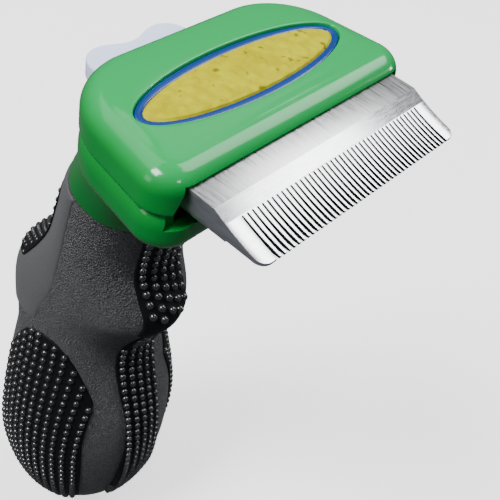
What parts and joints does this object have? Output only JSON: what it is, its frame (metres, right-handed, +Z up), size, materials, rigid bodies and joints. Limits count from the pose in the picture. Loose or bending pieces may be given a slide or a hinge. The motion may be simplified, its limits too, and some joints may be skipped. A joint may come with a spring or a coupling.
{
  "type": "pet deshedding tool",
  "caption": "Deshedding tool with a stepped steel comb in a glossy green head, a rear push button that drives a hair-ejector plate, and a soft grey grip with dotted rubber pads",
  "frame": {"origin": "middle of the tooth tips, on the flat underside of the comb", "axes": "+Z up out of the head's top face with the handle hanging down -Z; the comb points along -Y; X is the width"},
  "size_m": [0.0526, 0.0722, 0.1478],
  "materials": {
    "head_top_shell": "glossy green ABS",
    "head_bottom_shell": "glossy green ABS",
    "badge_rim": "glossy blue plastic",
    "badge_inlay": "yellow plastic with a raised pebble texture",
    "comb_blade": "ground stainless steel",
    "comb_screws": "zinc-plated steel",
    "shell_screws": "zinc-plated steel",
    "ejector_button": "pale lavender-white plastic",
    "ejector_slide": "natural white acetal",
    "button_screw": "zinc-plated steel",
    "pusher_plate": "rolled stainless sheet",
    "plate_rivets": "steel",
    "return_springs": "drawn spring steel wire",
    "spring_pins": "steel",
    "neck_collar": "glossy dark green ABS",
    "collar_screws": "zinc-plated steel",
    "neck_bolt": "zinc-plated steel",
    "bolt_insert": "turned brass",
    "handle_core": "black glass-filled nylon",
    "handle_grip": "fine-grained soft grey elastomer",
    "thumb_rest": "smooth soft grey elastomer",
    "thumb_pad": "glossy black rubber dots",
    "finger_pad": "glossy black rubber dots",
    "bulb_front_pad": "glossy black rubber dots",
    "bulb_left_pad": "glossy black rubber dots",
    "bulb_right_pad": "glossy black rubber dots"
  },
  "bodies": {
    "tool": {"head_top_shell": "head_top_shell", "head_bottom_shell": "head_bottom_shell", "badge_rim": "badge_rim", "badge_inlay": "badge_inlay", "comb_blade": "comb_blade", "comb_screws": "comb_screws", "shell_screws": "shell_screws", "return_springs": "return_springs", "spring_pins": "spring_pins", "neck_collar": "neck_collar", "collar_screws": "collar_screws", "neck_bolt": "neck_bolt", "bolt_insert": "bolt_insert", "handle_core": "handle_core", "handle_grip": "handle_grip", "thumb_rest": "thumb_rest", "thumb_pad": "thumb_pad", "finger_pad": "finger_pad", "bulb_front_pad": "bulb_front_pad", "bulb_left_pad": "bulb_left_pad", "bulb_right_pad": "bulb_right_pad"},
    "ejector": {"ejector_button": "ejector_button", "ejector_slide": "ejector_slide", "button_screw": "button_screw", "pusher_plate": "pusher_plate", "plate_rivets": "plate_rivets"}
  },
  "joints": [
    {"name": "ejector_press", "type": "slide", "parent": "tool", "child": "ejector", "axis": [0, -1, 0], "range_m": [0, 0.008], "stiffness_N_per_m": 350, "springref_m": -0.006, "deforming": ["return_springs"]}
  ]
}
